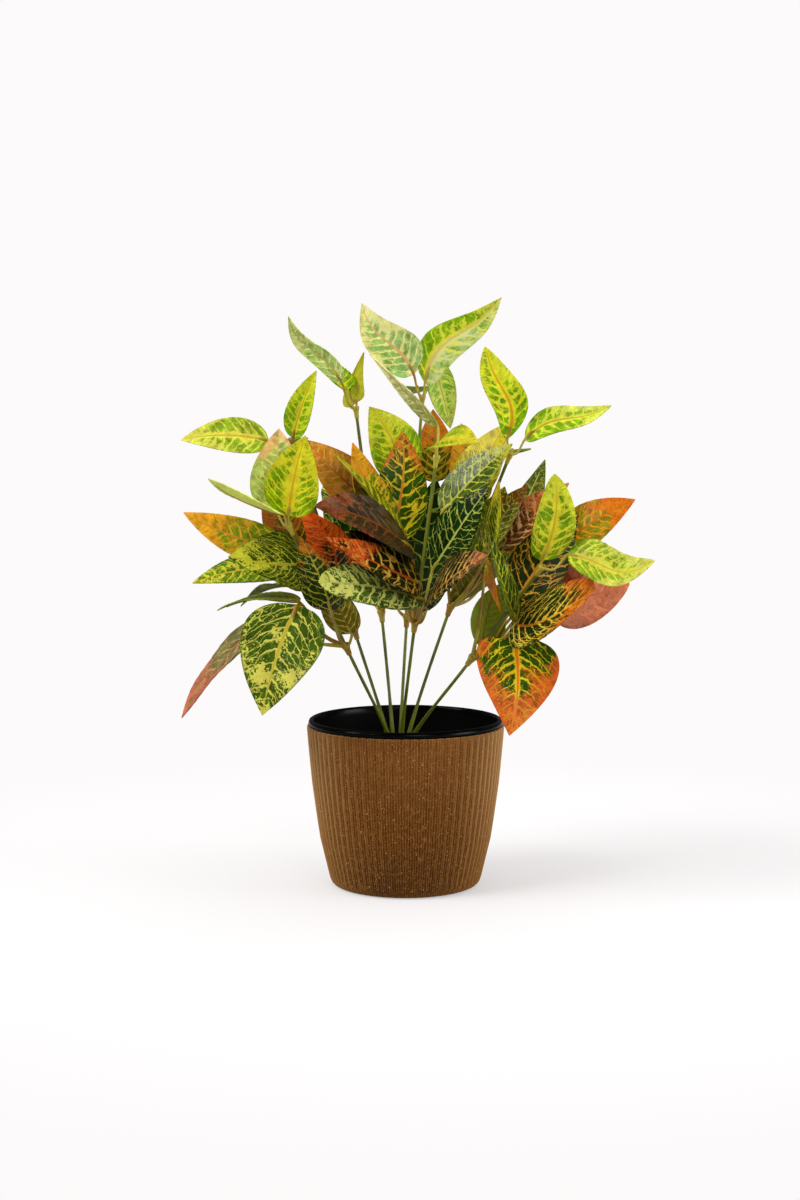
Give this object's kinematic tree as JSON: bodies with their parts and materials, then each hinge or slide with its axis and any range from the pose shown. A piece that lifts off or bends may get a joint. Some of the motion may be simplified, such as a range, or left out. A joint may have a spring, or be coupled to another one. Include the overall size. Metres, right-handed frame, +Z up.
{
  "type": "potted croton",
  "caption": "Artificial croton bush with variegated glossy leaves on slender stems, standing in a ribbed tapered cover pot with a black liner pot.",
  "frame": {"origin": "Centre of the cover pot's flat underside, where the pot rests.", "axes": "+Z up, +X to the right seen from the front, -Y towards the front."},
  "size_m": [0.3182, 0.2871, 0.4152],
  "materials": {
    "cover_pot": "matte ribbed composite with fine streaks",
    "liner_pot": "satin black moulded plastic",
    "filler": "rough dark filling",
    "stem": "olive plastic skin over wire",
    "lower_leaf": "glossy printed blades, dark green with yellow veins, orange and red",
    "upper_leaf": "glossy printed blades, light green with yellow midribs"
  },
  "bodies": {
    "root": {"cover_pot": "cover_pot", "liner_pot": "liner_pot", "filler": "filler", "stalk": "stem", "stem_1": "stem", "stem_2": "stem", "stem_3": "stem", "stem_4": "stem", "stem_5": "stem", "stem_6": "stem", "stem_7": "stem", "lower_leaves_1": "lower_leaf", "lower_leaves_2": "lower_leaf", "lower_leaves_3": "lower_leaf", "lower_leaves_4": "lower_leaf", "lower_leaves_5": "lower_leaf", "lower_leaves_6": "lower_leaf", "lower_leaves_7": "lower_leaf", "upper_leaves_1": "upper_leaf", "upper_leaves_2": "upper_leaf", "upper_leaves_3": "upper_leaf", "upper_leaves_4": "upper_leaf", "upper_leaves_5": "upper_leaf", "upper_leaves_6": "upper_leaf", "upper_leaves_7": "upper_leaf"}
  },
  "joints": []
}
